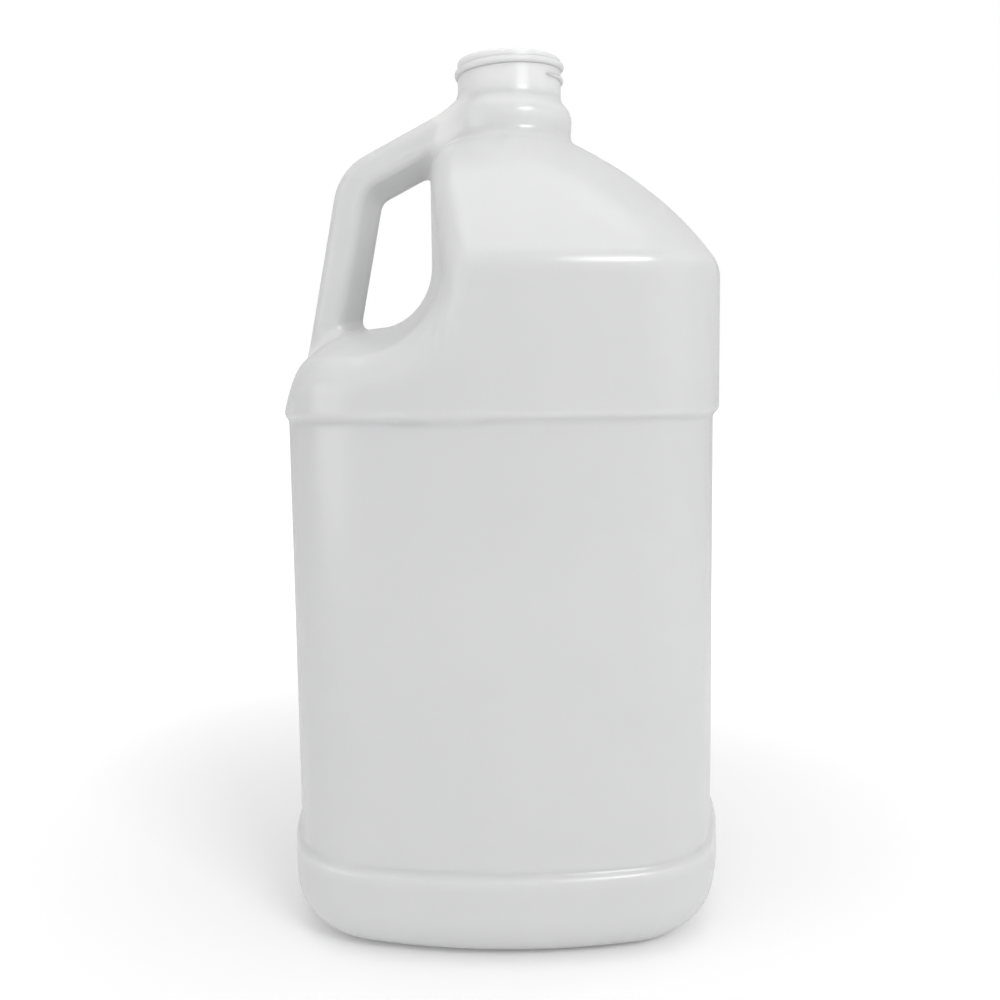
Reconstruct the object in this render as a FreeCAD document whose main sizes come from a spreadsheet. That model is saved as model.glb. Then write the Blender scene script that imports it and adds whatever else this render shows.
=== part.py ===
"""A one-gallon square jug, blown in one piece from natural polyethylene.

The form is built twice by the same function: once at full size, and once a wall
thickness smaller all round, as the hollow inside. The jug is the first less the
second. Origin: middle of the foot, +Z up the body, the handle on the -X side, the
parting plane of the mould at Y = 0. Millimetres throughout.
"""
import FreeCAD, Part
import math
import os
import Sketcher
from FreeCAD import Placement, Rotation, Vector

doc = FreeCAD.newDocument("Jug")

# ------------------------------------------------------------ driving sizes
SIZES = {
    # plan section: a square with bowed sides and large round corners
    "half_width": 73.9,
    "side_bow_radius": 171.6,
    "corner_radius": 33.6,
    "wall": 0.9,
    # body, from the foot up to the shoulder's edge
    "body_height": 213.2,
    "foot_edge_radius": 17.0,
    "foot_height": 29.4,
    "band_height": 46.7,
    "panel_recess": 2.0,
    "panel_slope": 1.8,
    "shoulder_edge_radius": 6.0,
    # push-up under the foot
    "push_up_depth": 3.5,
    "push_up_margin": 21.0,
    "push_up_bow": 98.0,
    "push_up_corner": 16.0,
    "push_up_slope": 2.5,
    # shoulder: a dome from the square section to the round neck, risen from the body's
    # edge and drawn in from its sides
    "dome_mid_rise": 26.8,
    "dome_mid_inset": 25.6,
    "dome_mid_bow_radius": 110.0,
    "dome_mid_corner_radius": 38.0,
    "dome_mid_shift": 1.6,
    "dome_top_rise": 45.4,
    # neck: how far its levels rise above the body's edge, and how far the collar and
    # the dome's top stand out from it
    "neck_shift": 3.7,
    "neck_radius": 17.6,
    "neck_wall": 1.5,
    "neck_length": 12.6,
    "collar_foot_rise": 42.8,
    "collar_bulge_rise": 55.2,
    "collar_head_rise": 60.4,
    "collar_waist_swell": 2.6,
    "collar_bulge_swell": 3.8,
    "collar_round": 4.0,
    "dome_top_swell": 2.4,
    "dome_top_bow_swell": 4.4,
    "dome_top_corner_swell": -0.6,
    "lip_bevel": 0.5,
    # scoop behind the handle: its wall's inset from the side and its floor's drop below
    # the body's edge, at the parting plane (mid) and past the faces (side)
    "scoop_clear": 10.1,
    "scoop_wall_inset_mid": 51.1,
    "scoop_wall_inset_side": 64.4,
    "scoop_floor_drop_mid": 14.4,
    "scoop_floor_drop_side": 32.7,
    "scoop_floor_fall": 0.10,
    "scoop_turn_mid": 17.0,
    "scoop_turn_side": 32.0,
    "scoop_edge_radius": 6.0,
    "shelf_brow_inset": 15.4,
    "shelf_round": 24.0,
    "shelf_edge_rise_mid": 5.6,
    "shelf_edge_rise_side": -14.0,
    # handle: centre line in the parting plane, and the section across it
    "handle_top_reach": 10.2,
    "handle_top_rise": 52.7,
    "handle_bend_inset": 26.4,
    "handle_bend_rise": 31.8,
    "handle_bend_radius": 12.5,
    "handle_foot_inset": 11.9,
    "handle_foot_drop": 41.2,
    "handle_nose": 8.4,
    "handle_nose_radius": 6.5,
    "handle_ridge": 1.8,
    "handle_ridge_half": 12.0,
    "handle_ridge_radius": 3.5,
    "handle_back": 8.1,
    "handle_back_half": 9.4,
    "handle_back_radius": 5.0,
    "handle_foot_blend": 3.0,
}

sheet = doc.addObject("Spreadsheet::Sheet", "Sizes")
for row, (alias, number) in enumerate(SIZES.items(), start=1):
    sheet.set("A%d" % row, alias)
    sheet.set("B%d" % row, str(number))
    sheet.setAlias("B%d" % row, alias)
doc.recompute()


# ------------------------------------------------------------ sizes as formulas
class Size:
    """A number and the spreadsheet formula that it comes from."""

    def __init__(self, formula, value):
        self.formula = formula
        self.value = value

    def __add__(self, other):
        other = as_size(other)
        return Size("(%s + %s)" % (self.formula, other.formula), self.value + other.value)

    def __sub__(self, other):
        other = as_size(other)
        return Size("(%s - %s)" % (self.formula, other.formula), self.value - other.value)

    def __mul__(self, other):
        other = as_size(other)
        return Size("(%s * %s)" % (self.formula, other.formula), self.value * other.value)

    def __truediv__(self, other):
        return Size("(%s / %s)" % (self.formula, other.formula), self.value / other.value)

    def __neg__(self):
        return Size("(0 - %s)" % self.formula, -self.value)


def as_size(number):
    """A plain number as a Size; a Size stays as it is."""
    if isinstance(number, Size):
        return number
    return Size("%g" % number, float(number))


def cell(alias):
    """The Size that a cell of the sheet holds."""
    return Size("Sizes.%s" % alias, float(getattr(sheet, alias)))


# ------------------------------------------------------------ sketch helpers
def plane_of(body, role):
    """The body's own origin plane with this role."""
    for feature in body.Origin.OriginFeatures:
        if feature.Role == role:
            return feature
    raise ValueError("no plane " + role)


def new_sketch(body, name, role, lift=0.0, shift=0.0):
    """A sketch on an origin plane, lifted off it and shifted along its own x."""
    sketch = body.newObject("Sketcher::SketchObject", name)
    sketch.AttachmentSupport = [(plane_of(body, role), "")]
    sketch.MapMode = "FlatFace"
    lift = as_size(lift)
    shift = as_size(shift)
    sketch.AttachmentOffset = Placement(Vector(shift.value, 0, lift.value), Rotation())
    sketch.setExpression(".AttachmentOffset.Base.z", lift.formula)
    sketch.setExpression(".AttachmentOffset.Base.x", shift.formula)
    return sketch


def drive(sketch, constraint, size):
    """Adds a dimension to the sketch and binds it to its formula."""
    index = sketch.addConstraint(constraint)
    sketch.setExpression("Constraints[%d]" % index, size.formula)


def place_point(sketch, geometry, corner, x, y):
    """Gives a point of the sketch its coordinates."""
    drive(sketch, Sketcher.Constraint("DistanceX", -1, 1, geometry, corner, x.value), x)
    drive(sketch, Sketcher.Constraint("DistanceY", -1, 1, geometry, corner, y.value), y)


def bowed_square(sketch, half_width, bow_radius, corner_radius):
    """A square whose sides are shallow arcs, joined by tangent corner arcs.

    A side's arc is centred beyond the middle, at bow_radius - half_width from it.
    A corner's centre lies on the diagonal where the corner's arc just touches the
    two sides' arcs from inside.
    """
    back = bow_radius - half_width
    c = back.value
    gap = bow_radius.value - corner_radius.value
    q = (-c + math.sqrt(2.0 * gap * gap - c * c)) / 2.0
    spread = math.atan2(q, q + c)
    sides = []
    corners = []
    for quarter in range(4):
        middle = quarter * math.pi / 2.0
        towards = Vector(math.cos(middle), math.sin(middle), 0)
        across = Vector(-math.sin(middle), math.cos(middle), 0)
        side = Part.Circle(towards * -c, Vector(0, 0, 1), bow_radius.value)
        side = Part.ArcOfCircle(side, middle - spread, middle + spread)
        sides.append(sketch.addGeometry(side, False))
        corner = Part.Circle((towards + across) * q, Vector(0, 0, 1), corner_radius.value)
        corner = Part.ArcOfCircle(corner, middle + spread, middle + math.pi / 2.0 - spread)
        corners.append(sketch.addGeometry(corner, False))
    for quarter in range(4):
        following = sides[(quarter + 1) % 4]
        sketch.addConstraint(Sketcher.Constraint("Tangent", sides[quarter], 2, corners[quarter], 1))
        sketch.addConstraint(Sketcher.Constraint("Tangent", corners[quarter], 2, following, 1))
    centres = [(-back, as_size(0)), (as_size(0), -back), (back, as_size(0)), (as_size(0), back)]
    for quarter in range(4):
        x, y = centres[quarter]
        place_point(sketch, sides[quarter], 3, x, y)
        drive(sketch, Sketcher.Constraint("Radius", sides[quarter], bow_radius.value), bow_radius)
        drive(sketch, Sketcher.Constraint("Radius", corners[quarter], corner_radius.value), corner_radius)


def short_arc(centre, radius, begin, end):
    """The shorter arc between two points, anticlockwise, and which of its ends each is."""
    first = math.atan2(begin.y - centre.y, begin.x - centre.x)
    last = math.atan2(end.y - centre.y, end.x - centre.x)
    circle = Part.Circle(centre, Vector(0, 0, 1), radius)
    if (last - first) % (2.0 * math.pi) < math.pi:
        return Part.ArcOfCircle(circle, first, first + (last - first) % (2.0 * math.pi)), 1, 2
    return Part.ArcOfCircle(circle, last, last + (first - last) % (2.0 * math.pi)), 2, 1


def join_round(sketch, arc, arc_end, line, line_end, guide):
    """Joins an arc's end to a line's end on the guide, with the arc's spoke square to it."""
    centre = sketch.Geometry[arc].Center
    if arc_end == 1:
        rim = sketch.Geometry[arc].StartPoint
    else:
        rim = sketch.Geometry[arc].EndPoint
    spoke = sketch.addGeometry(Part.LineSegment(centre, rim), True)
    sketch.addConstraint(Sketcher.Constraint("Coincident", spoke, 1, arc, 3))
    sketch.addConstraint(Sketcher.Constraint("Coincident", spoke, 2, arc, arc_end))
    sketch.addConstraint(Sketcher.Constraint("Coincident", arc, arc_end, line, line_end))
    sketch.addConstraint(Sketcher.Constraint("PointOnObject", line, line_end, guide))
    sketch.addConstraint(Sketcher.Constraint("Perpendicular", spoke, guide))


def rounded_outline(sketch, corners, closed=True):
    """Straight lines through corners (x, y, radius), each corner sharp or rounded.

    The sharp outline is drawn first as construction lines, which place everything;
    the real lines lie on it and the corner arcs touch it. An open outline begins and
    ends on its first and last corner.
    """
    count = len(corners)
    spans = count if closed else count - 1
    points = [Vector(x.value, y.value, 0) for x, y, radius in corners]
    guides = []
    for index in range(spans):
        line = Part.LineSegment(points[index], points[(index + 1) % count])
        guides.append(sketch.addGeometry(line, True))
    for index in range(count):
        x, y, radius = corners[index]
        if index < spans:
            place_point(sketch, guides[index], 1, x, y)
        else:
            place_point(sketch, guides[index - 1], 2, x, y)
        if 0 < index < spans or (closed and index == 0):
            sketch.addConstraint(Sketcher.Constraint("Coincident", guides[index - 1], 2, guides[index], 1))
    starts = list(points)
    ends = list(points)
    rounds = {}
    for index in range(count):
        radius = corners[index][2]
        if radius is None:
            continue
        here = points[index]
        before = (points[index - 1] - here).normalize()
        after = (points[(index + 1) % count] - here).normalize()
        half = before.getAngle(after) / 2.0
        ends[index] = here + before * (radius.value / math.tan(half))
        starts[index] = here + after * (radius.value / math.tan(half))
        centre = here + (before + after).normalize() * (radius.value / math.sin(half))
        rounds[index] = short_arc(centre, radius.value, ends[index], starts[index])
    lines = []
    for index in range(spans):
        line = Part.LineSegment(starts[index], ends[(index + 1) % count])
        lines.append(sketch.addGeometry(line, False))
    for index in range(count):
        if index in rounds:
            radius = corners[index][2]
            shape, first, last = rounds[index]
            arc = sketch.addGeometry(shape, False)
            join_round(sketch, arc, first, lines[index - 1], 2, guides[index - 1])
            join_round(sketch, arc, last, lines[index], 1, guides[index])
            drive(sketch, Sketcher.Constraint("Radius", arc, radius.value), radius)
            continue
        if index < spans:
            sketch.addConstraint(Sketcher.Constraint("Coincident", lines[index], 1, guides[index], 1))
        if index > 0 or closed:
            before = index - 1
            sketch.addConstraint(Sketcher.Constraint("Coincident", lines[before], 2, guides[before], 2))


def pad(body, name, sketch, length):
    """A pad of the sketch upwards."""
    feature = body.newObject("PartDesign::Pad", name)
    feature.Profile = sketch
    feature.Length = length.value
    feature.setExpression("Length", length.formula)
    return feature


def edges_of(body, name, chosen):
    """The body's tip and the names of its edges that the test chosen picks."""
    doc.recompute()
    tip = body.Tip
    names = []
    for number, edge in enumerate(tip.Shape.Edges, start=1):
        if chosen(edge):
            names.append("Edge%d" % number)
    if not names:
        raise RuntimeError("%s found no edge" % name)
    return tip, names


def fillet(body, name, radius, chosen):
    """Rounds the chosen edges of the body's tip."""
    base = edges_of(body, name, chosen)
    feature = body.newObject("PartDesign::Fillet", name)
    feature.Base = base
    feature.Radius = radius.value
    feature.setExpression("Radius", radius.formula)
    return feature


def chamfer(body, name, size, chosen):
    """Bevels the chosen edges of the body's tip."""
    base = edges_of(body, name, chosen)
    feature = body.newObject("PartDesign::Chamfer", name)
    feature.Base = base
    feature.Size = size.value
    feature.setExpression("Size", size.formula)
    return feature


def flat_at(level):
    """A test for edges that lie flat at a level."""
    def test(edge):
        box = edge.BoundBox
        return abs(box.ZMin - level.value) < 0.01 and abs(box.ZMax - level.value) < 0.01
    return test


def outline_at(level, bow_radius, corner_radius):
    """A test for the arcs of a bowed square that lie at a level."""
    def test(edge):
        if not flat_at(level)(edge) or edge.Curve.TypeId != "Part::GeomCircle":
            return False
        radius = edge.Curve.Radius
        return abs(radius - bow_radius.value) < 0.01 or abs(radius - corner_radius.value) < 0.01
    return test


# ------------------------------------------------------------ the form
def jug_form(name, skin):
    """The jug's form as a solid, with every surface moved inwards by skin."""
    body = doc.addObject("PartDesign::Body", name)

    # body: three pads, the middle one set back as the label panel, with sloped steps
    half = cell("half_width") - skin
    bow = cell("side_bow_radius") - skin
    corner = cell("corner_radius") - skin
    recess = cell("panel_recess")
    panel_foot = cell("foot_height") - skin
    panel_head = cell("body_height") - cell("band_height") + skin
    edge_level = cell("body_height") - skin * 0.4
    foot = new_sketch(body, name + "FootPlan", "XY_Plane", skin)
    bowed_square(foot, half, bow, corner)
    pad(body, name + "Foot", foot, panel_foot - skin)
    panel = new_sketch(body, name + "PanelPlan", "XY_Plane", panel_foot)
    bowed_square(panel, half - recess, bow - recess, corner - recess)
    pad(body, name + "Panel", panel, panel_head - panel_foot)
    band = new_sketch(body, name + "BandPlan", "XY_Plane", panel_head)
    bowed_square(band, half, bow, corner)
    pad(body, name + "Band", band, edge_level - panel_head)
    foot_top = outline_at(panel_foot, bow, corner)
    band_bottom = outline_at(panel_head, bow, corner)
    chamfer(body, name + "Steps", cell("panel_slope"), lambda edge: foot_top(edge) or band_bottom(edge))

    # shoulder: a dome through two more sections, drawn in towards the neck
    dome_foot = new_sketch(body, name + "DomeFoot", "XY_Plane", edge_level)
    bowed_square(dome_foot, half, bow, corner)
    dome_mid = new_sketch(body, name + "DomeMid", "XY_Plane",
                          cell("body_height") + cell("dome_mid_rise"), cell("dome_mid_shift"))
    inset = skin * 1.5
    bowed_square(dome_mid, cell("half_width") - cell("dome_mid_inset") - inset,
                 cell("dome_mid_bow_radius") - inset, cell("dome_mid_corner_radius") - inset)
    dome_top = new_sketch(body, name + "DomeTop", "XY_Plane",
                          cell("body_height") + cell("dome_top_rise"), cell("neck_shift"))
    inset = skin * 1.9
    neck_radius = cell("neck_radius")
    bowed_square(dome_top, neck_radius + cell("dome_top_swell") - inset,
                 neck_radius + cell("dome_top_bow_swell") - inset,
                 neck_radius + cell("dome_top_corner_swell") - inset)
    dome = body.newObject("PartDesign::AdditiveLoft", name + "Dome")
    dome.Profile = dome_foot
    dome.Sections = [dome_mid, dome_top]
    fillet(body, name + "ShoulderRound", cell("shoulder_edge_radius") - skin, flat_at(edge_level))
    fillet(body, name + "FootRound", cell("foot_edge_radius") - skin, flat_at(skin))

    # push-up: the foot is dished inside its rim so that the jug stands steadily
    rim = half - cell("push_up_margin") + skin * 2
    rim_bow = rim + cell("push_up_bow")
    rim_corner = cell("push_up_corner") + skin
    dish = new_sketch(body, name + "DishPlan", "XY_Plane", skin)
    bowed_square(dish, rim, rim_bow, rim_corner)
    cut = body.newObject("PartDesign::Pocket", name + "Dish")
    cut.Profile = dish
    cut.Length = cell("push_up_depth").value
    cut.setExpression("Length", cell("push_up_depth").formula)
    cut.Reversed = True
    chamfer(body, name + "DishRim", cell("push_up_slope"), outline_at(skin, rim_bow, rim_corner))

    # scoop: room for the hand between the handle and the body
    reach = cell("half_width") + cell("scoop_clear")
    top_z = cell("body_height") + cell("collar_head_rise") + cell("neck_length") + cell("scoop_clear")
    sections = []
    for part, lift, side in (("Near", reach, "side"), ("Mid", as_size(0), "mid"), ("Far", -reach, "side")):
        wall_x = cell("scoop_wall_inset_" + side) - cell("half_width") + skin
        floor_z = cell("body_height") - cell("scoop_floor_drop_" + side) - skin
        brow_x = cell("shelf_brow_inset") - cell("half_width") + skin * 0.5
        brow_z = floor_z - (wall_x - brow_x) * cell("scoop_floor_fall")
        edge_z = panel_head - skin * 2 + cell("shelf_edge_rise_" + side)
        fall = (brow_z - edge_z) / (brow_x + half)
        left_x = -reach
        left_z = brow_z - (brow_x - left_x) * fall
        profile = new_sketch(body, name + "Scoop" + part, "XZ_Plane", lift)
        rounded_outline(profile, [
            (wall_x, top_z, None),
            (wall_x, floor_z, cell("scoop_turn_" + side) + skin),
            (brow_x, brow_z, cell("shelf_round") - skin),
            (left_x, left_z, None),
            (left_x, top_z, None),
        ])
        sections.append(profile)
    scoop = body.newObject("PartDesign::SubtractiveLoft", name + "Scoop")
    scoop.Profile = sections[0]
    scoop.Sections = sections[1:]
    fillet(body, name + "ScoopRound", cell("scoop_edge_radius") - skin, rim_of(scoop))

    # neck: a plain finish above a swelling collar, turned about its own axis
    collar_foot = cell("body_height") + cell("collar_foot_rise")
    collar_bulge = cell("body_height") + cell("collar_bulge_rise")
    collar_head = cell("body_height") + cell("collar_head_rise")
    lip = collar_head + cell("neck_length") + skin * 2
    neck = new_sketch(body, name + "NeckProfile", "XZ_Plane", 0.0, cell("neck_shift"))
    finish_radius = neck_radius if skin.value == 0 else neck_radius - cell("neck_wall")
    bevel = cell("lip_bevel")
    rounded_outline(neck, [
        (as_size(0), collar_foot, None),
        (neck_radius + cell("collar_waist_swell") - skin, collar_foot, None),
        (neck_radius + cell("collar_bulge_swell") - skin, collar_bulge - skin * 0.4,
         cell("collar_round") - skin),
        (finish_radius, collar_head, None),
        (finish_radius, lip - bevel, None),
        (finish_radius - bevel, lip, None),
        (as_size(0), lip, None),
    ])
    turned = body.newObject("PartDesign::Revolution", name + "Neck")
    turned.Profile = neck
    turned.ReferenceAxis = (neck, ["V_Axis"])
    turned.Angle = 360.0

    # handle: a tube from the shelf up, round the bend and into the collar
    top_x = cell("neck_shift") - cell("handle_top_reach")
    top_z = cell("body_height") + cell("handle_top_rise")
    bend_x = cell("handle_bend_inset") - cell("half_width")
    bend_z = cell("body_height") + cell("handle_bend_rise")
    foot_x = cell("handle_foot_inset") - cell("half_width")
    foot_z = cell("body_height") - cell("handle_foot_drop")
    path = new_sketch(body, name + "HandlePath", "XZ_Plane")
    rounded_outline(path, [
        (foot_x, foot_z, None),
        (bend_x, bend_z, cell("handle_bend_radius")),
        (top_x, top_z, None),
    ], closed=False)
    section = body.newObject("Sketcher::SketchObject", name + "HandleSection")
    section.AttachmentSupport = [(plane_of(body, "XY_Plane"), "")]
    section.MapMode = "FlatFace"
    rise = bend_z - foot_z
    run = bend_x - foot_x
    lean = math.degrees(math.atan2(run.value, rise.value))
    foot_at = Vector(foot_x.value, 0, foot_z.value)
    section.AttachmentOffset = Placement(foot_at, Rotation(Vector(0, 1, 0), lean))
    section.setExpression(".AttachmentOffset.Base.x", foot_x.formula)
    section.setExpression(".AttachmentOffset.Base.z", foot_z.formula)
    section.setExpression(".AttachmentOffset.Rotation.Angle", "atan(%s / %s)" % (run.formula, rise.formula))
    nose = cell("handle_nose") - skin * 1.12
    ridge = cell("handle_ridge") - skin * 0.53
    ridge_half = cell("handle_ridge_half") - skin * 1.18
    back = -(cell("handle_back") - skin)
    back_half = cell("handle_back_half") - skin * 0.77
    ridge_radius = cell("handle_ridge_radius") - skin
    back_radius = cell("handle_back_radius") - skin
    rounded_outline(section, [
        (nose, as_size(0), cell("handle_nose_radius") - skin),
        (ridge, ridge_half, ridge_radius),
        (back, back_half, back_radius),
        (back, -back_half, back_radius),
        (ridge, -ridge_half, ridge_radius),
    ])
    handle = body.newObject("PartDesign::AdditivePipe", name + "Handle")
    handle.Profile = section
    handle.Spine = (path, [])
    if skin.value == 0:
        seam = seam_of(handle)
        fillet(body, name + "HandleBlend", cell("handle_foot_blend"),
               lambda edge: edge.BoundBox.ZMax < edge_level.value and seam(edge))
    return body


def same_surface(one, other):
    """Whether two spline surfaces have the same poles."""
    if one.TypeId != "Part::GeomBSplineSurface" or one.TypeId != other.TypeId:
        return False
    ours = [pole for row in one.getPoles() for pole in row]
    theirs = [pole for row in other.getPoles() for pole in row]
    if len(ours) != len(theirs):
        return False
    return all(pole.distanceToPoint(twin) < 1e-6 for pole, twin in zip(ours, theirs))


def rim_of(scoop):
    """A test for the edges where the scoop's cut meets the outside of the body."""
    doc.recompute()
    cutters = [face.Surface for face in scoop.AddSubShape.Faces]
    cut = [face for face in scoop.Shape.Faces
           if any(same_surface(face.Surface, cutter) for cutter in cutters)]

    def test(edge):
        return sum(any(edge.isSame(side) for side in face.Edges) for face in cut) == 1
    return test


def seam_of(added):
    """A test for the edges where an added form meets the body that was there before."""
    doc.recompute()
    before = Part.Compound(added.BaseFeature.Shape.Faces)
    form = Part.Compound(added.AddSubShape.Faces)

    def test(edge):
        middle = Part.Vertex(edge.valueAt((edge.FirstParameter + edge.LastParameter) / 2.0))
        return all(middle.distToShape(side)[0] < 1e-3 for side in (before, form))
    return test


# ------------------------------------------------------------ the jug
outer = jug_form("Outer", as_size(0))
hollow = jug_form("Hollow", cell("wall"))
jug = doc.addObject("Part::Cut", "JugShell")
jug.Base = outer
jug.Tool = hollow
jug.Label = "jug"
jug.Placement = Placement()
doc.recompute()

for item in doc.Objects:
    if "Invalid" in item.State or "Error" in item.State:
        raise RuntimeError("%s did not build: %s" % (item.Name, item.getStatusString()))

os.makedirs("parts", exist_ok=True)
for node in (jug,):
    shape = node.Shape
    if shape.isNull() or not shape.isValid() or len(shape.Solids) != 1:
        raise RuntimeError("%s is not one sound solid" % node.Label)
    shape.exportStep("parts/%s.step" % node.Label)
    print("%s: %.1f cm3 of plastic" % (node.Label, shape.Volume / 1000.0))
print("brimful: %.2f litres" % (hollow.Shape.Volume / 1e6))
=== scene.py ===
import math

import bpy
import numpy as np
from mathutils import Matrix, Vector


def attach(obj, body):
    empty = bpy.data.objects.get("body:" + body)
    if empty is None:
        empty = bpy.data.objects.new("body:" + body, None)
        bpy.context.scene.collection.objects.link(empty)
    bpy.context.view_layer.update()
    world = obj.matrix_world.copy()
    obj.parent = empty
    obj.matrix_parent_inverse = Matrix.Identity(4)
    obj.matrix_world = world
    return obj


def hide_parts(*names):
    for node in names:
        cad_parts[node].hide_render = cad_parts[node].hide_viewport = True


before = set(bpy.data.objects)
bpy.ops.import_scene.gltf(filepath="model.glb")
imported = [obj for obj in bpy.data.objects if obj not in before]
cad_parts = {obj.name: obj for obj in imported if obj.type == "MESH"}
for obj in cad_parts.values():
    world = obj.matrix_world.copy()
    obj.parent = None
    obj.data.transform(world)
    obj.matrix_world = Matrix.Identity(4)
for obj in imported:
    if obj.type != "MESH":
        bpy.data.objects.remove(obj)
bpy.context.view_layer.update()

wall = 0.9
half_width = 73.86
side_bow = 171.6
side_corner = 33.6
foot_round = 17.0
dish_inset = 21.0
dish_depth = 3.5
panel_foot = 29.4
panel_head = 166.5
panel_recess = 2.0
panel_slope = 0.9
shoulder = 213.9
shoulder_round = 5.0
shoulder_lean = 0.62
dome_middle_rise = 26.8
dome_middle = 48.3
dome_top_rise = 45.4
dome_top = 18.6
scoop_round = 7.0
shelf_slope = 0.10
neck_x = 3.7
neck_radius = 17.6
mouth_radius = 16.1
lip = 286.2

milky_polyethylene = bpy.data.materials.new("milky_polyethylene")
milky_polyethylene.use_nodes = True
nodes = milky_polyethylene.node_tree.nodes
links = milky_polyethylene.node_tree.links
plastic = nodes["Principled BSDF"]
plastic.inputs["IOR"].default_value = 1.54
plastic.inputs["Subsurface Weight"].default_value = 0.8
plastic.inputs["Subsurface Radius"].default_value = (1.0, 1.0, 0.95)
plastic.inputs["Subsurface Scale"].default_value = 0.004
place = nodes.new("ShaderNodeTexCoord")

cloud = nodes.new("ShaderNodeTexNoise")
cloud.inputs["Scale"].default_value = 18.0
cloud.inputs["Detail"].default_value = 3.0
links.new(place.outputs["Object"], cloud.inputs["Vector"])
tone = nodes.new("ShaderNodeValToRGB")
tone.color_ramp.elements[0].position = 0.3
tone.color_ramp.elements[0].color = (0.735, 0.738, 0.736, 1.0)
tone.color_ramp.elements[1].position = 0.7
tone.color_ramp.elements[1].color = (0.755, 0.757, 0.751, 1.0)
links.new(cloud.outputs["Fac"], tone.inputs["Fac"])
links.new(tone.outputs["Color"], plastic.inputs["Base Color"])

grain = nodes.new("ShaderNodeTexNoise")
grain.inputs["Scale"].default_value = 900.0
grain.inputs["Detail"].default_value = 2.0
links.new(place.outputs["Object"], grain.inputs["Vector"])
gloss = nodes.new("ShaderNodeMapRange")
gloss.inputs["To Min"].default_value = 0.22
gloss.inputs["To Max"].default_value = 0.28
links.new(grain.outputs["Fac"], gloss.inputs["Value"])
links.new(gloss.outputs["Result"], plastic.inputs["Roughness"])
blast = nodes.new("ShaderNodeBump")
blast.inputs["Strength"].default_value = 0.25
blast.inputs["Distance"].default_value = 0.00002
links.new(grain.outputs["Fac"], blast.inputs["Height"])
parts_of_place = nodes.new("ShaderNodeSeparateXYZ")
links.new(place.outputs["Object"], parts_of_place.inputs["Vector"])
off_parting = nodes.new("ShaderNodeMath")
off_parting.operation = "ABSOLUTE"
links.new(parts_of_place.outputs["Y"], off_parting.inputs[0])
parting = nodes.new("ShaderNodeMapRange")
parting.interpolation_type = "SMOOTHSTEP"
parting.inputs["From Min"].default_value = 0.0001
parting.inputs["From Max"].default_value = 0.0007
parting.inputs["To Min"].default_value = 1.0
parting.inputs["To Max"].default_value = 0.0
links.new(off_parting.outputs["Value"], parting.inputs["Value"])
flash = nodes.new("ShaderNodeBump")
flash.inputs["Strength"].default_value = 0.5
flash.inputs["Distance"].default_value = 0.0002
links.new(parting.outputs["Result"], flash.inputs["Height"])
links.new(flash.outputs["Normal"], blast.inputs["Normal"])
links.new(blast.outputs["Normal"], plastic.inputs["Normal"])


def round_off(one, other, radius, lean=0.0):
    """The greater of two distances, with the edge between them turned into an arc.

    The arc touches both surfaces and has its centre one radius inside each; lean is
    the cosine of the angle between the surfaces' normals.
    """
    u = one + radius
    v = other + radius
    square = np.maximum(u * u + v * v - 2.0 * lean * u * v, 0.0)
    arc = np.sqrt(square / (1.0 - lean * lean)) - radius
    return np.where((u > lean * v) & (v > lean * u), arc, np.maximum(one, other))


def flow(one, other, width):
    """The lesser of two distances, less a hump that fills the corner where they are alike."""
    near = np.maximum(width - np.abs(one - other), 0.0)
    return np.minimum(one, other) - near * near / (4.0 * width)


def bowed_square(x, y, half, bow, corner):
    """Distance from a square with bowed sides and round corners, below 0 inside.

    A side is an arc of radius bow about a point behind the middle. A corner's arc has
    its centre on the diagonal, where it just touches the two sides' arcs from inside.
    """
    x = np.abs(x)
    y = np.abs(y)
    back = bow - half
    reach = bow - corner
    centre = (np.sqrt(np.maximum(2.0 * reach * reach - back * back, 0.0)) - back) / 2.0
    side = np.maximum(np.hypot(x + back, y), np.hypot(x, y + back)) - reach
    dx = x - centre
    dy = y - centre
    in_corner = (dy * (centre + back) > dx * centre) & (dx * (centre + back) > dy * centre)
    return np.where(in_corner, np.hypot(dx, dy), side) - corner


def parabola(first, middle, last, share=0.52):
    """Steepness and bend of the parabola through three values, the middle one at share."""
    steep = (middle / (share * (1.0 - share)) - first * (1.0 + share) / share
             - last * share / (1.0 - share))
    return steep, last - first - steep


def upright_form(x, y, z):
    """Distance from the upright sides, the set-back panel, the round foot and its dish.

    The panel is a channel with sloped ends, taken out of the bowed square; each of its
    edges is an arc, and so is the foot's.
    """
    steepness = math.hypot(1.0, panel_slope)
    lean = panel_slope / steepness
    out = bowed_square(x, y, half_width, side_bow, side_corner)
    middle = (panel_foot + panel_head) / 2.0
    depth = out + panel_recess
    ends = (np.abs(z - middle) - (panel_head - panel_foot) / 2.0 - panel_slope * depth) / steepness
    inner_round, outer_round = 2.6, 3.0
    channel = round_off(-depth, ends, inner_round, lean)
    out = round_off(out, -channel, outer_round, lean)
    out = round_off(out, -z, foot_round)
    rim = half_width - dish_inset
    rim_bow, rim_corner, dish_round = rim + 98.0, 16.0, 2.0
    dish = round_off(bowed_square(x, y, rim, rim_bow, rim_corner), z - dish_depth, dish_round)
    return round_off(out, -dish, dish_round)


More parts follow.
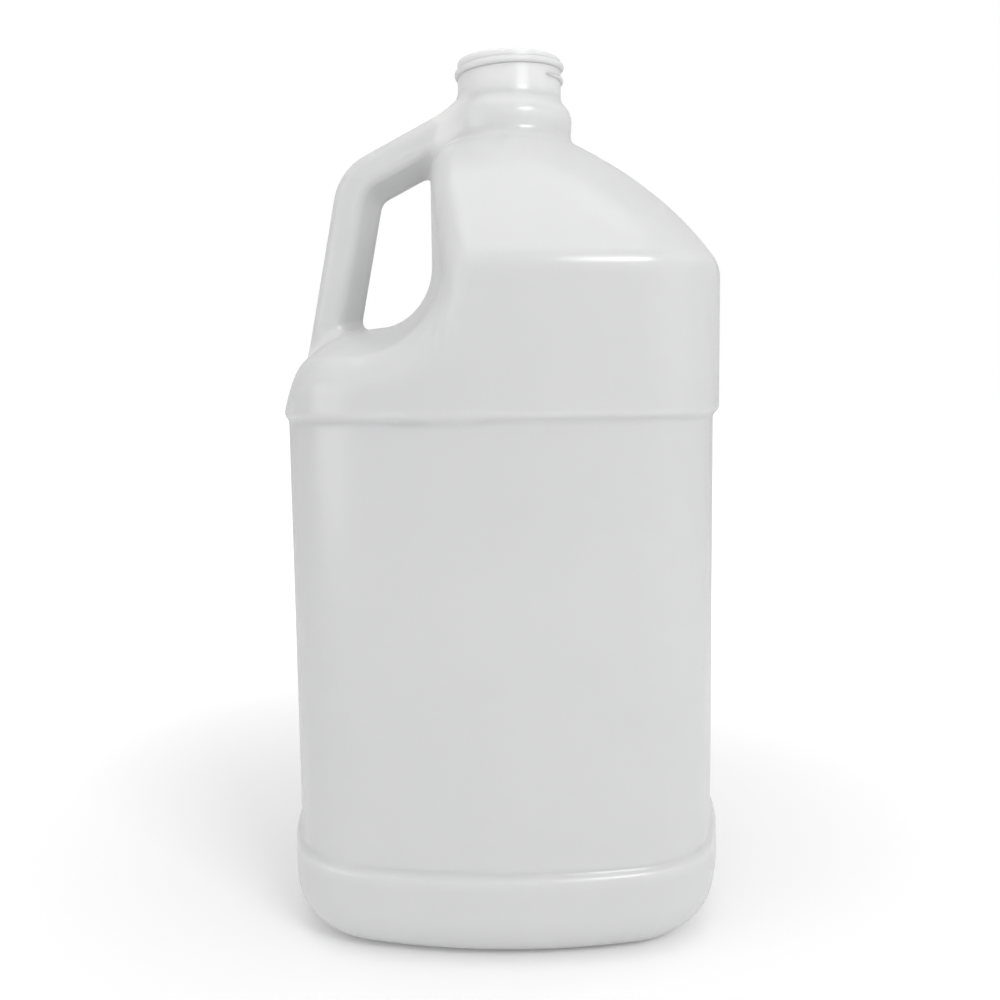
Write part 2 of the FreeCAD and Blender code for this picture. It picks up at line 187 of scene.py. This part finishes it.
def dome_form(x, y, z):
    """Distance from the dome: bowed squares that shrink and move towards the neck.

    Level, width, bow, corner and shift are parabolas of one parameter, found from the
    level; the distance is taken square to the slope.
    """
    rise_steep, rise_bend = parabola(0.0, dome_middle_rise, dome_top_rise)
    lowest, highest = shoulder - 14.0, shoulder + 52.0
    level = np.clip(z, lowest, highest) - shoulder
    root = np.sqrt(np.maximum(rise_steep ** 2 + 4.0 * rise_bend * level, 0.0))
    t = (root - rise_steep) / (2.0 * rise_bend)
    steep, bend = parabola(half_width, dome_middle, dome_top)
    half = half_width + steep * t + bend * t * t
    drawn_in = (steep + 2.0 * bend * t) / (rise_steep + 2.0 * rise_bend * t)
    middle_bow, top_bow = 110.0, 22.0
    steep, bend = parabola(side_bow, middle_bow, top_bow)
    bow = side_bow + steep * t + bend * t * t
    middle_corner, top_corner = 38.0, 17.0
    steep, bend = parabola(side_corner, middle_corner, top_corner)
    corner = side_corner + steep * t + bend * t * t
    middle_shift = 1.6
    steep, bend = parabola(0.0, middle_shift, neck_x)
    shift = steep * t + bend * t * t
    corner = np.minimum(corner, half - 1.0)
    bow = np.maximum(bow, half + 1.0)
    return bowed_square(x - shift, y, half, bow, corner) / np.sqrt(1.0 + drawn_in * drawn_in)


def scoop_form(x, y, z):
    """Distance from the hand's room behind the handle, left of a wall and above a shelf.

    Wall and shelf shift with the square of y. The turn between them is an arc, and the
    shelf rolls over a brow and down to the jug's side.
    """
    half_span = 84.0
    wall_middle, wall_shift = -22.8, 13.3
    shelf_middle, shelf_drop = 198.8, 18.3
    turn_middle, turn_growth = 17.0, 15.0
    edge_middle, edge_drop = panel_head + 5.6, 19.6
    brow_x, brow_round = -58.5, 24.0
    across = np.clip(np.abs(y) / half_span, 0.0, 1.0) ** 2
    wall_x = wall_middle + wall_shift * across
    floor = shelf_middle - shelf_drop * across
    turn = turn_middle + turn_growth * across
    brow_z = floor - (wall_x - brow_x) * shelf_slope
    edge_z = edge_middle - edge_drop * across
    fall = (brow_z - edge_z) / (brow_x + half_width)
    flatness = math.hypot(1.0, shelf_slope)
    top = (floor + (x - wall_x) * shelf_slope - z) / flatness
    front = (brow_z + (x - brow_x) * fall - z) / np.sqrt(1.0 + fall * fall)
    lean = (1.0 + shelf_slope * fall) / (flatness * np.sqrt(1.0 + fall * fall))
    shelf = -round_off(-top, -front, brow_round, lean)
    return round_off(x - wall_x, shelf, turn)


def neck_form(x, y, z):
    """Distance from the neck: a collar of two cones rounded together, and a plain finish."""
    out = np.hypot(x - neck_x, y)
    waist_radius, waist_z, waist_rise, waist_swell = 20.3, 256.0, 12.4, 1.2
    crown_radius, crown_z, crown_side = 21.7, 268.0, 4.1
    collar_round, collar_lean = 7.0, 0.635
    finish_foot, finish_blend, lip_round = 262.0, 1.4, 0.6
    waist = (((out - waist_radius) * waist_rise - (z - waist_z) * waist_swell)
             / math.hypot(waist_rise, waist_swell))
    crown = (((out - crown_radius) * crown_side + (z - crown_z) * crown_side)
             / math.hypot(crown_side, crown_side))
    collar = round_off(waist, crown, collar_round, collar_lean)
    finish = np.maximum(out - neck_radius, finish_foot - z)
    return round_off(flow(collar, finish, finish_blend), z - lip, lip_round)


def body_form(x, y, z):
    """Distance from the whole body without its handle."""
    upright = upright_form(x, y, z)
    body = round_off(upright, dome_form(x, y, z), shoulder_round, shoulder_lean)
    body = round_off(body, -scoop_form(x, y, z), scoop_round)
    neck_blend = 3.5
    return flow(body, neck_form(x, y, z), neck_blend)


def outward(form, points):
    """Unit normals of a form at points, from the distance's change over a small step."""
    x, y, z = points[..., 0], points[..., 1], points[..., 2]
    e = 0.02
    slope = np.stack([form(x + e, y, z) - form(x - e, y, z),
                      form(x, y + e, z) - form(x, y - e, z),
                      form(x, y, z + e) - form(x, y, z - e)], axis=-1)
    return slope / np.maximum(np.linalg.norm(slope, axis=-1, keepdims=True), 1e-9)


def cast(form, start, way, reach, strides):
    """Where rays from inside a form first leave it, by even strides and then by halving."""
    low = np.zeros(start.shape[:-1])
    stride = reach / strides
    found = np.zeros(low.shape, bool)
    for count in range(1, strides + 1):
        p = start + way * (stride * count)
        found |= form(p[..., 0], p[..., 1], p[..., 2]) > 0.0
        low = np.where(found, low, stride * count)
    high = low + stride
    halvings = 20
    for count in range(halvings):
        middle = (low + high) / 2.0
        p = start + way * middle[..., None]
        past = form(p[..., 0], p[..., 1], p[..., 2]) > 0.0
        high = np.where(past, middle, high)
        low = np.where(past, low, middle)
    return start + way * high[..., None]


def rays_of_body(t, turn):
    """Starts and ways of each row's rays, for the share t of the way up and the angle round.

    Rows fan out of the middle of the foot, go up the axis level, lean up at the left
    to meet the shelf, and end level on the neck's axis.
    """
    knots = np.array([0.0, 0.10, 0.18, 0.24, 0.55, 0.68, 0.86, 0.94, 1.0])
    start_x = np.interp(t, knots, [0.0, 0.0, 0.0, 0.0, 0.0, 7.0, neck_x, neck_x, neck_x])
    start_z = np.interp(t, knots,
                        [45.0, 32.0, 26.0, 24.0, 148.0, 176.0, 240.0, 262.0, lip - 0.7])
    climb = np.interp(t, knots, [-90.0, -45.0, -18.0, 0.0, 0.0, 0.0, 0.0, 0.0, 0.0])
    lean = np.interp(t, knots, [0.0, 0.0, 0.0, 0.0, 0.0, 52.0, 22.0, 0.0, 0.0])
    left_from, left_over = 0.05, 0.6
    left = np.clip((-np.cos(turn) - left_from) / left_over, 0.0, 1.0)
    eased = left * left * (3.0 - 2.0 * left)
    climb = np.radians(climb[:, None] + lean[:, None] * eased[None, :])
    level = 0.0 * climb
    start = np.stack([start_x[:, None] + level, level, start_z[:, None] + level], axis=-1)
    way = np.stack([np.cos(climb) * np.cos(turn), np.cos(climb) * np.sin(turn), np.sin(climb)],
                   axis=-1)
    return start, way


def even_rows(t, points, normals, count, longest, sharpest):
    """Shares t at which rows lie evenly, by the most that they move or turn at any angle."""
    moved = np.linalg.norm(np.diff(points, axis=0), axis=-1).max(axis=1) / longest
    alike = np.clip((normals[1:] * normals[:-1]).sum(axis=-1), -1.0, 1.0)
    turned = np.arccos(alike).max(axis=1) / sharpest
    walked = np.concatenate([[0.0], np.cumsum(moved + turned)])
    return np.interp(np.linspace(0.0, walked[-1], count), walked, t)


def joined(rows, columns, first):
    """Faces between neighbouring rows of a grid whose points are numbered from first.

    The last column joins up with the first.
    """
    row = first + np.arange(rows - 1)[:, None] * columns
    step = np.arange(columns)[None, :]
    following = (step + 1) % columns
    above = row + columns
    return np.stack([row + step, row + following, above + following, above + step],
                    axis=-1).reshape(-1, 4)


columns = 216
outer_rows = 220
row_gap = 1.9
row_turn = math.radians(9.0)
ray_length = 125.0
ray_strides = 26
turn = np.linspace(0.0, 2.0 * np.pi, columns, endpoint=False)
trial = np.linspace(0.0, 1.0, 900)
start, way = rays_of_body(trial, turn[::8])
tried = cast(body_form, start, way, ray_length, ray_strides)
even = even_rows(trial, tried, outward(body_form, tried), outer_rows, row_gap, row_turn)
start, way = rays_of_body(even, turn)
outside = cast(body_form, start, way, ray_length, ray_strides)[1:]
outside_points = outside.reshape(-1, 3)
normals = outward(body_form, outside)

# over the lip, down the mouth, and then the inside, one wall in from the outside
ring = np.stack([np.cos(turn), np.sin(turn)], axis=-1)
over_lip = [(17.45, 285.95), (17.2, 286.15), (16.9, lip), (16.6, lip), (16.3, 286.05),
            (mouth_radius, 285.7), (mouth_radius, 283.0), (mouth_radius, 279.0),
            (mouth_radius, 275.5)]
mouth = np.stack([np.column_stack([neck_x + r * ring[:, 0], r * ring[:, 1], np.full(columns, z)])
                  for r, z in over_lip])
inside_head = 271.5
below_mouth = outside[outside[:, 0, 2] < inside_head]
inward = below_mouth - wall * normals[:len(below_mouth)]
inside = inward[::-2]
skin = np.concatenate([outside, mouth, inside])
rows = len(skin)
dish_level = outside[0, :, 2].mean()
bottom = np.array([[0.0, 0.0, dish_level], [0.0, 0.0, dish_level + wall]])

# ------------------------------------------------------------------ the hollow handle
# A tube of the same shell, pinched out by the mould from the shelf up, round a bend and
# into the collar. Both its ends flow out into the body's skin, so this section welds
# the two into the one mesh of the jug.
handle_blend = 4.5
foot_lift = 5.0
bend_radius = 12.5
handle_foot = np.array([-62.0, 172.0])
handle_bend = np.array([-47.5, 245.0])
handle_head = np.array([-6.5, 265.9])
up_way = (handle_bend - handle_foot) / np.linalg.norm(handle_bend - handle_foot)
over_way = (handle_head - handle_bend) / np.linalg.norm(handle_head - handle_bend)
up_side = np.array([-up_way[1], up_way[0]])
over_side = np.array([-over_way[1], over_way[0]])
bend_centre = np.linalg.solve([up_side, over_side], [handle_bend @ up_side - bend_radius,
                                                     handle_bend @ over_side - bend_radius])


def handle_form(x, y, z):
    """Distance from the handle: a five-sided section with round corners along a bent path.

    The path is two straight runs with an arc between them; how far a point lies outside
    the path, and its y, are its place in the section.
    """
    first = (x - handle_foot[0]) * up_side[0] + (z - handle_foot[1]) * up_side[1]
    second = (x - handle_head[0]) * over_side[0] + (z - handle_head[1]) * over_side[1]
    past_first = (x - bend_centre[0]) * up_way[0] + (z - bend_centre[1]) * up_way[1]
    past_second = (x - bend_centre[0]) * over_way[0] + (z - bend_centre[1]) * over_way[1]
    bend = np.hypot(x - bend_centre[0], z - bend_centre[1]) - bend_radius
    out = np.where(past_first < 0.0, first, np.where(past_second > 0.0, second, bend))
    out = np.where((past_first < 0.0) & (past_second > 0.0), np.maximum(first, second), out)
    nose, nose_run, nose_rise = 8.4, 12.0, 6.6
    near = ((-out - nose) * nose_run + y * nose_rise) / math.hypot(nose_run, nose_rise)
    far = ((-out - nose) * nose_run - y * nose_rise) / math.hypot(nose_run, nose_rise)
    section = round_off(near, far, 6.5, 0.535)
    half_across, flank_run, flank_rise = 12.0, 2.6, 9.9
    flank = (((out + 1.8) * flank_run + (np.abs(y) - half_across) * flank_rise)
             / math.hypot(flank_run, flank_rise))
    section = round_off(section, flank, 3.5, 0.244)
    back = 8.1
    section = round_off(section, out - back, 5.0, 0.254)
    foot = (handle_foot[0] - x) * up_way[0] + (handle_foot[1] - z) * up_way[1] + foot_lift
    head = (x - handle_head[0]) * over_way[0] + (z - handle_head[1]) * over_way[1]
    return np.maximum(section, np.maximum(foot, head))


def jug_form(x, y, z):
    """Distance from body and handle, with the hollows where they meet filled out."""
    return flow(body_form(x, y, z), handle_form(x, y, z), handle_blend)


def settled(points):
    """Points drawn onto the joined skin, each along the skin's normal by its distance."""
    for drawn in range(5):
        off = jug_form(points[..., 0], points[..., 1], points[..., 2])
        points = points - outward(jug_form, points) * off[..., None]
    return points


def flowing_end(ring, way, strides):
    """Rows that go on from a ring over the joined skin, each point straight on along the surface.

    A step follows the last direction, laid flat on the surface, and is then drawn back
    onto the skin. Rows first run 1 mm apart, to find how far each point goes until the
    blend is over; then they divide that length.
    """
    length = np.ones(len(ring))
    far_enough = 40
    for steps in (far_enough, strides):
        p = ring
        ahead = np.broadcast_to(way, p.shape)
        rows = []
        apart = []
        for count in range(steps):
            n = outward(jug_form, p)
            ahead = ahead - n * (ahead * n).sum(axis=-1, keepdims=True)
            ahead = ahead / np.linalg.norm(ahead, axis=-1, keepdims=True)
            p = settled(p + ahead * length[:, None])
            x, y, z = p[:, 0], p[:, 1], p[:, 2]
            apart.append(handle_form(x, y, z) - body_form(x, y, z))
            rows.append(p)
        if steps != strides:
            reach = 1.0 + (np.array(apart) < handle_blend - 1.0).cumprod(axis=0).sum(axis=0)
            near = np.stack([np.roll(reach, shift) for shift in range(-2, 3)]).max(axis=0)
            blended = np.stack([np.roll(near, shift) for shift in range(-2, 3)]).mean(axis=0)
            length = blended / strides
    return np.array(rows)


arc_start = bend_centre + bend_radius * up_side
arc_end = bend_centre + bend_radius * over_side
grip_above_foot = 36.0
grip_past_bend = 6.0
run_from = handle_foot + up_way * grip_above_foot
run_to = arc_end + over_way * grip_past_bend
first_run = np.linalg.norm(arc_start - run_from)
arc_run = bend_radius * math.acos(float(up_way @ over_way))
last_run = np.linalg.norm(run_to - arc_end)


def grip_rings(walked, angle):
    """Rings of the handle's skin at these lengths along the path and angles round it."""
    in_arc = np.clip(walked - first_run, 0.0, arc_run) / bend_radius
    before = first_run - np.minimum(walked, first_run)
    after = np.maximum(walked - first_run - arc_run, 0.0)
    lean = math.atan2(up_way[1], up_way[0]) - in_arc
    side = np.stack([-np.sin(lean), np.cos(lean)], axis=-1)
    middle = (bend_centre + bend_radius * side - up_way * before[:, None]
              + over_way * after[:, None])
    start = np.stack([middle[:, 0], 0.0 * walked, middle[:, 1]], axis=-1)[:, None, :]
    start = start + 0.0 * angle[..., None]
    way = np.stack([side[:, :1] * np.cos(angle), np.sin(angle) + 0.0 * side[:, :1],
                    side[:, 1:] * np.cos(angle)], axis=-1)
    return cast(jug_form, start, way, 30.0, 30)


foot_way = np.array([-up_way[0], 0.0, -up_way[1]])
head_way = np.array([over_way[0], 0.0, over_way[1]])
window_margin = 0.8
off_handle = handle_form(outside[..., 0], outside[..., 1], outside[..., 2])
covered = off_handle < handle_blend + window_margin
between_ends = 225.0
low_part = outside[..., 2] < between_ends


def window(part):
    """Ends of the block of the body's grid that holds these points, one row and column wider."""
    down = np.flatnonzero(part.any(axis=1))
    round_it = np.flatnonzero(part.any(axis=0))
    half = max(columns // 2 - round_it[0], round_it[-1] - columns // 2) + 1
    return down[0] - 1, down[-1] + 1, half


middle_column = columns // 2
low_row, high_row, half = window(covered & ~low_part)
low_row -= (high_row - low_row) % 2
head_window = (low_row, high_row, half)
edge = (high_row - low_row) // 2 + half
low_row, high_row, half = window(covered & low_part)
foot_window = (low_row, low_row + edge - 2 * half, half)


def window_edge(rows_from, rows_to, half):
    """Numbers of the grid's points round a window, from the middle of row rows_from.

    They go round by way of +y.
    """
    step = 1 if rows_to > rows_from else -1
    tall = abs(rows_to - rows_from)
    row = np.concatenate([np.full(half, rows_from), np.arange(rows_from, rows_to, step),
                          np.full(2 * half, rows_to), np.arange(rows_to, rows_from, -step),
                          np.full(half, rows_from)])
    side = np.concatenate([-np.arange(half), np.full(tall, -half), np.arange(-half, half),
                           np.full(tall, half), np.arange(half, 0, -1)])
    return row * columns + middle_column + side


def angles_round(points, corner, side):
    """Angles at which points lie round a run of the handle, from its outer side by way of +y."""
    out = (points[:, 0] - corner[0]) * side[0] + (points[:, 2] - corner[1]) * side[1]
    return np.maximum.accumulate(np.unwrap(np.arctan2(points[:, 1], out)))


all_round = np.linspace(0.0, 2.0 * np.pi, 601)
share_met = 0.8
share_even = 0.2
trial_strides = 12


def angles_to(edge, ring, way, corner, side):
    """Angles round the handle from which rows that flow on come out at a window's points.

    They are the angles met, drawn a little towards even spacing.
    """
    loop = flowing_end(ring, way, trial_strides)[-1]
    wanted = angles_round(outside_points[edge], corner, side)
    met = np.interp(wanted, angles_round(loop, corner, side), all_round)
    even = np.linspace(0.0, 2.0 * np.pi, len(edge), endpoint=False)
    return share_met * met + share_even * even


foot_edge = window_edge(foot_window[0], foot_window[1], foot_window[2])
head_edge = window_edge(head_window[1], head_window[0], head_window[2])
grip_rows = 56
split = 28
foot_strides = 8
head_strides = 9
spread_rows = 5
walked = np.linspace(0.0, first_run + arc_run + last_run, grip_rows)
ends = grip_rings(walked[[0, -1]], all_round[None, :])
foot_angles = angles_to(foot_edge, ends[0], foot_way, handle_foot, up_side)
head_angles = angles_to(head_edge, ends[1], head_way, handle_head, over_side)
between = (foot_angles + np.append(foot_angles[1:], 2.0 * np.pi)) / 2.0
foot_angles_twice = np.stack([foot_angles, between], axis=-1).ravel()
share = (walked / walked[-1])[:, None]
share = share * share * (3.0 - 2.0 * share)
low_angles = foot_angles + (head_angles[::2] - foot_angles) * share[:split]
high_angles = foot_angles_twice + (head_angles - foot_angles_twice) * share[split:]
low_grip = grip_rings(walked[:split], low_angles)
high_grip = grip_rings(walked[split:], high_angles)
foot_rows = flowing_end(low_grip[0], foot_way, foot_strides)[::-1]
head_rows = flowing_end(high_grip[-1], head_way, head_strides)
t = np.linspace(0.0, 1.0, spread_rows + 2)[1:-1, None, None]
foot_spread = settled(outside_points[foot_edge] * (1.0 - t) + foot_rows[0] * t)
head_spread = settled(head_rows[-1] * (1.0 - t) + outside_points[head_edge] * t)
low_skin = np.concatenate([foot_rows, low_grip])
high_skin = np.concatenate([high_grip, head_rows])

# the inside leaves out the last rows at each end, and keeps every second one of the rest
left_out = 4
low_inside = (low_skin - wall * outward(jug_form, low_skin))[left_out::2]
high_inside = (high_skin - wall * outward(jug_form, high_skin))[:-left_out][::-2][::-1]
low_end = low_inside[0].mean(axis=0)
high_end = high_inside[-1].mean(axis=0)
low_skin = np.concatenate([foot_spread, low_skin])
high_skin = np.concatenate([high_skin, head_spread])


def sleeve(low, high, first):
    """Faces of the handle's skin from point number first: two grids and a row between.

    The upper grid has twice the columns, so the row between has five-cornered faces.
    """
    few = low.shape[1]
    many = high.shape[1]
    above = first + len(low) * few
    step = np.arange(few)
    start = above - few
    five = np.stack([start + step, start + (step + 1) % few, above + (2 * step + 2) % many,
                     above + 2 * step + 1, above + 2 * step], axis=-1)
    return np.concatenate([joined(len(low), few, first), joined(len(high), many, above)]), five


def stitched(one, other):
    """Faces between two rings of points with these numbers."""
    return np.stack([one, np.roll(one, -1), np.roll(other, -1), other], axis=-1)


body_faces = joined(rows, columns, 0).reshape(rows - 1, columns, 4)
kept = np.ones((rows - 1, columns), bool)
for low_row, high_row, half in (foot_window, head_window):
    kept[low_row:high_row, middle_column - half:middle_column + half] = False
parts = (skin, bottom, low_skin, high_skin, low_inside, high_inside, low_end, high_end)
points = np.concatenate([part.reshape(-1, 3) for part in parts]) * 0.001
first = rows * columns + len(bottom)
quads, fives = sleeve(low_skin, high_skin, first)
first_high = first + low_skin[..., 0].size
first_inside = first_high + high_skin[..., 0].size
last_high = first_inside - high_skin.shape[1]
high_step = np.arange(high_skin.shape[1])
foot_join = stitched(foot_edge, first + np.arange(low_skin.shape[1]))
head_join = stitched(last_high + high_step, head_edge)
inner_quads, inner_fives = sleeve(low_inside, high_inside, first_inside)
quads = np.concatenate([body_faces[kept], quads[:, ::-1], foot_join[:, ::-1],
                        head_join[:, ::-1], inner_quads])
fives = np.concatenate([fives[:, ::-1], inner_fives])
step = np.arange(columns)
last = (rows - 1) * columns
low_ring = first_inside + np.arange(low_inside.shape[1])
high_ring = len(points) - 2 - high_inside.shape[1] + np.arange(high_inside.shape[1])


def pole(ring, middle):
    """Triangles from a ring of points with these numbers to one point in its middle."""
    return np.stack([np.roll(ring, -1), ring, np.full(len(ring), middle)], axis=-1)


threes = np.concatenate([pole(step, rows * columns),
                         pole(last + step, rows * columns + 1)[:, ::-1],
                         pole(low_ring, len(points) - 2),
                         pole(high_ring, len(points) - 1)[:, ::-1]])
used = np.zeros(len(points), bool)
for group in (threes, quads, fives):
    used[group] = True
number = np.cumsum(used) - 1
faces = number[threes].tolist() + number[quads].tolist() + number[fives].tolist()
shell_mesh = bpy.data.meshes.new("blown_shell")
shell_mesh.from_pydata(points[used].tolist(), [], faces)
shell_mesh.shade_smooth()
blown_shell = bpy.data.objects.new("blown_shell", shell_mesh)
bpy.context.scene.collection.objects.link(blown_shell)
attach(blown_shell, "root")
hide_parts("jug")
blown_shell.data.materials.append(milky_polyethylene)

# ------------------------------------------------------------------ the cap's thread
# A rounded rib of 1.3 right-hand turns, blown with the neck, that a 38 mm screw cap
# runs on. It starts and ends in a taper. Its sizes are in metres.
neck_middle = neck_x * 0.001
neck_wall = neck_radius * 0.001
thread_crest = 0.00105
thread_half = 0.0013
thread_pitch = 0.00423
thread_head = 0.2839
turns = 1.3
turned_back = 0.17
taper = 0.12
sunk = 0.0003
hidden = 0.0004


def thread_rib(stations, around):
    """A low half-round rib wound down the neck.

    At each station the rib's middle is at an angle, and a pitch lower for each turn;
    its section is a half ellipse that stands off the neck's wall, closed behind the
    wall, and its height and width rise from a seventh over each end's taper.
    """
    t = np.linspace(0.0, 1.0, stations)[:, None]
    a = np.linspace(0.0, 2.0 * np.pi, around, endpoint=False)[None, :]
    swell = np.sqrt(np.clip(np.minimum(t, 1.0 - t) / taper, 0.0, 1.0) * 0.98 + 0.02)
    turn = -2.0 * np.pi * (turns * t - turned_back)
    out = neck_wall - sunk + (thread_crest + sunk) * swell * np.cos(a)
    out = np.maximum(out, neck_wall - hidden)
    level = thread_head - thread_pitch * (turns * t - turned_back) + thread_half * swell * np.sin(a)
    return np.stack([neck_middle + out * np.cos(turn), out * np.sin(turn), level + 0.0 * out],
                    axis=-1)


stations, around = 240, 24
rib_points = thread_rib(stations, around)
caps = [list(range(around))[::-1], list(range((stations - 1) * around, stations * around))]
rib_faces = joined(stations, around, 0).tolist() + caps
thread_mesh = bpy.data.meshes.new("cap_thread")
thread_mesh.from_pydata(rib_points.reshape(-1, 3).tolist(), [], rib_faces)
thread_mesh.shade_smooth()
thread_mesh.materials.append(milky_polyethylene)
cap_thread = bpy.data.objects.new("cap_thread", thread_mesh)
bpy.context.scene.collection.objects.link(cap_thread)
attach(cap_thread, "root")

# ------------------------------------------------------------------ the table
# A plain pale sheet under the jug that runs out to white, lit evenly; it keeps the
# jug's soft shadow.
pale_table = bpy.data.materials.new("pale_table")
pale_table.use_nodes = True
nodes = pale_table.node_tree.nodes
links = pale_table.node_tree.links
sheen = nodes["Principled BSDF"]
sheen.inputs["Base Color"].default_value = (0.9, 0.9, 0.9, 1.0)
sheen.inputs["Roughness"].default_value = 1.0
sheen.inputs["Specular IOR Level"].default_value = 0.0
sheen.inputs["Emission Color"].default_value = (1.0, 1.0, 1.0, 1.0)
seen = nodes.new("ShaderNodeLightPath")
lift = nodes.new("ShaderNodeMath")
lift.operation = "MULTIPLY"
place = nodes.new("ShaderNodeTexCoord")
away = nodes.new("ShaderNodeVectorMath")
away.operation = "LENGTH"
links.new(place.outputs["Object"], away.inputs[0])
fade = nodes.new("ShaderNodeMapRange")
fade.interpolation_type = "SMOOTHSTEP"
fade.inputs["From Min"].default_value = 0.10
fade.inputs["From Max"].default_value = 0.55
fade.inputs["To Min"].default_value = 0.10
fade.inputs["To Max"].default_value = 0.60
links.new(away.outputs["Value"], fade.inputs["Value"])
links.new(seen.outputs["Is Camera Ray"], lift.inputs[0])
links.new(fade.outputs["Result"], lift.inputs[1])
links.new(lift.outputs["Value"], sheen.inputs["Emission Strength"])
table_mesh = bpy.data.meshes.new("table_top")
far = 6.0
corners = [(-far, -far, 0), (far, -far, 0), (far, far, 0), (-far, far, 0)]
table_mesh.from_pydata(corners, [], [(0, 1, 2, 3)])
table_mesh.materials.append(pale_table)
table_top = bpy.data.objects.new("table_top", table_mesh)
bpy.context.scene.collection.objects.link(table_top)

# ------------------------------------------------------------------ the light
# A white tent all round, a small bright box in front on the right for the highlights,
# and three broad soft ones: from the right, from above and from the left.
tent = bpy.data.worlds.new("tent")
bpy.context.scene.world = tent
tent.use_nodes = True
nodes = tent.node_tree.nodes
links = tent.node_tree.links
around_light = nodes["Background"]
around_light.inputs["Color"].default_value = (1.0, 1.0, 1.0, 1.0)
seen = nodes.new("ShaderNodeLightPath")
level = nodes.new("ShaderNodeMapRange")
level.inputs["To Min"].default_value = 0.65
level.inputs["To Max"].default_value = 1.0
links.new(seen.outputs["Is Camera Ray"], level.inputs["Value"])
links.new(level.outputs["Result"], around_light.inputs["Strength"])

lit_middle = Vector((0.0, 0.0, 0.2))


def soft_box(name, azimuth, elevation, distance, width, height, power):
    """An area lamp that looks at the jug's upper half from an angle right of the front."""
    lamp = bpy.data.lights.new(name, "AREA")
    lamp.shape = "RECTANGLE"
    lamp.size = width
    lamp.size_y = height
    lamp.energy = power
    a = math.radians(azimuth)
    e = math.radians(elevation)
    away = Vector((math.sin(a) * math.cos(e), -math.cos(a) * math.cos(e), math.sin(e)))
    holder = bpy.data.objects.new(name, lamp)
    holder.location = lit_middle + away * distance
    holder.rotation_euler = away.to_track_quat("Z", "Y").to_euler()
    bpy.context.scene.collection.objects.link(holder)


soft_box("strip_box", 31.0, 27.0, 1.05, 0.4, 0.2, 3.3)
soft_box("side_box", 66.0, 15.0, 1.2, 0.8, 0.8, 0.9)
soft_box("top_box", 0.0, 88.0, 0.9, 0.9, 0.9, 2.3)
soft_box("fill_box", -60.0, 0.0, 1.2, 0.8, 0.6, 2.4)

# ------------------------------------------------------------------ the camera
# It stands near, a little right of the middle and just above the label panel's head. It
# looks slightly down and is rolled under a degree.
heading = 0.03825
tilt = 0.10845
roll = 0.01349
stand = (0.01392, -0.39976, 0.17949)
ahead = Vector((-math.sin(heading) * math.cos(tilt), math.cos(heading) * math.cos(tilt),
                -math.sin(tilt)))
level_right = Vector((math.cos(heading), math.sin(heading), 0.0))
level_up = level_right.cross(ahead)
right = level_right * math.cos(roll) - level_up * math.sin(roll)
up = level_right * math.sin(roll) + level_up * math.cos(roll)
lens = bpy.data.cameras.new("front_camera")
lens.sensor_width = 36.0
lens.lens = 40.677
lens.clip_start = 0.01
front_camera = bpy.data.objects.new("front_camera", lens)
facing = Matrix((right, up, -ahead)).transposed().to_4x4()
front_camera.matrix_world = Matrix.Translation(stand) @ facing
bpy.context.scene.collection.objects.link(front_camera)
bpy.context.scene.camera = front_camera
bpy.context.scene.view_settings.view_transform = "Standard"
